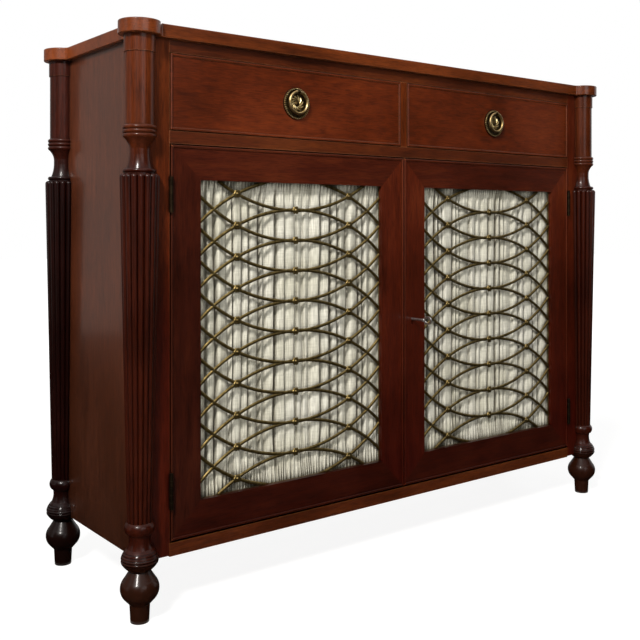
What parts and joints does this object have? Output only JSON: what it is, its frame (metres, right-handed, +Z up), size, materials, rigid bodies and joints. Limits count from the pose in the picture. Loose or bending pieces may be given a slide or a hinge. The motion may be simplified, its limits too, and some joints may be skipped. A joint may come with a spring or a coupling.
{
  "type": "side cupboard",
  "caption": "Mahogany side cupboard with turned and reeded corner columns, drawers with brass ring pulls, and two doors with an arc-patterned brass lattice over pleated silk.",
  "frame": {"origin": "Middle of the whole cupboard's footprint, on the floor, with the key counted in the depth", "axes": "+X to the right seen from the front, +Y to the back, +Z up"},
  "size_m": [1.162, 0.3849, 0.914],
  "materials": {
    "mahogany": "French-polished red-brown mahogany",
    "secondary_wood": "unpolished pine and oak, aged",
    "lattice_brass": "dark antique brass",
    "pull_brass": "worn lacquered brass, dark in its hollows",
    "hinge_brass": "dull aged brass",
    "silk": "pale grey-ivory pleated silk",
    "steel": "worn bright steel"
  },
  "bodies": {
    "case": {"table_top": "mahogany", "column_front_left": "mahogany", "column_rear_left": "mahogany", "column_front_right": "mahogany", "column_rear_right": "mahogany", "side_panel_left": "mahogany", "side_panel_right": "mahogany", "front_stile_left": "mahogany", "front_stile_right": "mahogany", "top_rail": "mahogany", "middle_rail": "mahogany", "bottom_rail": "mahogany", "drawer_divider": "mahogany", "bottom_board": "secondary_wood", "dust_board": "secondary_wood", "top_back_rail": "secondary_wood", "back_panel": "secondary_wood", "shelf": "secondary_wood", "shelf_battens": "secondary_wood", "drawer_guide_left": "secondary_wood", "drawer_guide_right": "secondary_wood", "drawer_guide_centre": "secondary_wood", "drawer_stops": "secondary_wood", "hinge_leaves_case": "hinge_brass", "hinge_pins": "hinge_brass"},
    "drawer_left": {"drawer_left_front": "mahogany", "drawer_left_outer_side": "secondary_wood", "drawer_left_inner_side": "secondary_wood", "drawer_left_back": "secondary_wood", "drawer_left_bottom": "secondary_wood", "drawer_left_pull_plate": "pull_brass"},
    "drawer_right": {"drawer_right_front": "mahogany", "drawer_right_outer_side": "secondary_wood", "drawer_right_inner_side": "secondary_wood", "drawer_right_back": "secondary_wood", "drawer_right_bottom": "secondary_wood", "drawer_right_pull_plate": "pull_brass"},
    "ring_left": {"pull_ring_left": "pull_brass"},
    "ring_right": {"pull_ring_right": "pull_brass"},
    "door_left": {"door_left_hinge_stile": "mahogany", "door_left_meeting_stile": "mahogany", "door_left_top_rail": "mahogany", "door_left_bottom_rail": "mahogany", "door_left_hinge_leaves": "hinge_brass", "door_left_lattice": "lattice_brass", "door_left_silk": "silk", "door_left_silk_rods": "hinge_brass"},
    "door_right": {"door_right_hinge_stile": "mahogany", "door_right_meeting_stile": "mahogany", "door_right_top_rail": "mahogany", "door_right_bottom_rail": "mahogany", "door_right_hinge_leaves": "hinge_brass", "door_right_lattice": "lattice_brass", "door_right_silk": "silk", "door_right_silk_rods": "hinge_brass", "lock_case": "hinge_brass"},
    "lock_bolt": {"lock_bolt": "steel"},
    "key": {"key": "steel"},
    "bolt_upper": {"door_bolt_upper": "hinge_brass"},
    "bolt_lower": {"door_bolt_lower": "hinge_brass"}
  },
  "joints": [
    {"name": "drawer_left_slide", "type": "slide", "parent": "case", "child": "drawer_left", "axis": [0, -1, 0], "range_m": [0, 0.22]},
    {"name": "drawer_right_slide", "type": "slide", "parent": "case", "child": "drawer_right", "axis": [0, -1, 0], "range_m": [0, 0.22]},
    {"name": "ring_left_swing", "type": "hinge", "parent": "drawer_left", "child": "ring_left", "pos_m": [-0.2525, -0.1485, 0.832], "axis": [-1, 0, 0], "range_deg": [0, 170]},
    {"name": "ring_right_swing", "type": "hinge", "parent": "drawer_right", "child": "ring_right", "pos_m": [0.2525, -0.1485, 0.832], "axis": [-1, 0, 0], "range_deg": [0, 170]},
    {"name": "door_left_swing", "type": "hinge", "parent": "case", "child": "door_left", "pos_m": [-0.496, -0.1447, 0.42], "axis": [0, 0, -1], "range_deg": [0, 105]},
    {"name": "door_right_swing", "type": "hinge", "parent": "case", "child": "door_right", "pos_m": [0.496, -0.1447, 0.42], "axis": [0, 0, 1], "range_deg": [0, 105]},
    {"name": "key_turn", "type": "hinge", "parent": "door_right", "child": "key", "pos_m": [0.022, -0.1405, 0.424], "axis": [0, 1, 0], "range_deg": [0, 180]},
    {"name": "lock_bolt_throw", "type": "slide", "parent": "door_right", "child": "lock_bolt", "axis": [-1, 0, 0], "range_m": [0, 0.008]},
    {"name": "bolt_upper_slide", "type": "slide", "parent": "door_left", "child": "bolt_upper", "axis": [0, 0, 1], "range_m": [0, 0.012]},
    {"name": "bolt_lower_slide", "type": "slide", "parent": "door_left", "child": "bolt_lower", "axis": [0, 0, -1], "range_m": [0, 0.012]}
  ],
  "couplings": [
    {"joint": "lock_bolt_throw", "follows": "key_turn", "m_per_rad": 0.002546}
  ]
}
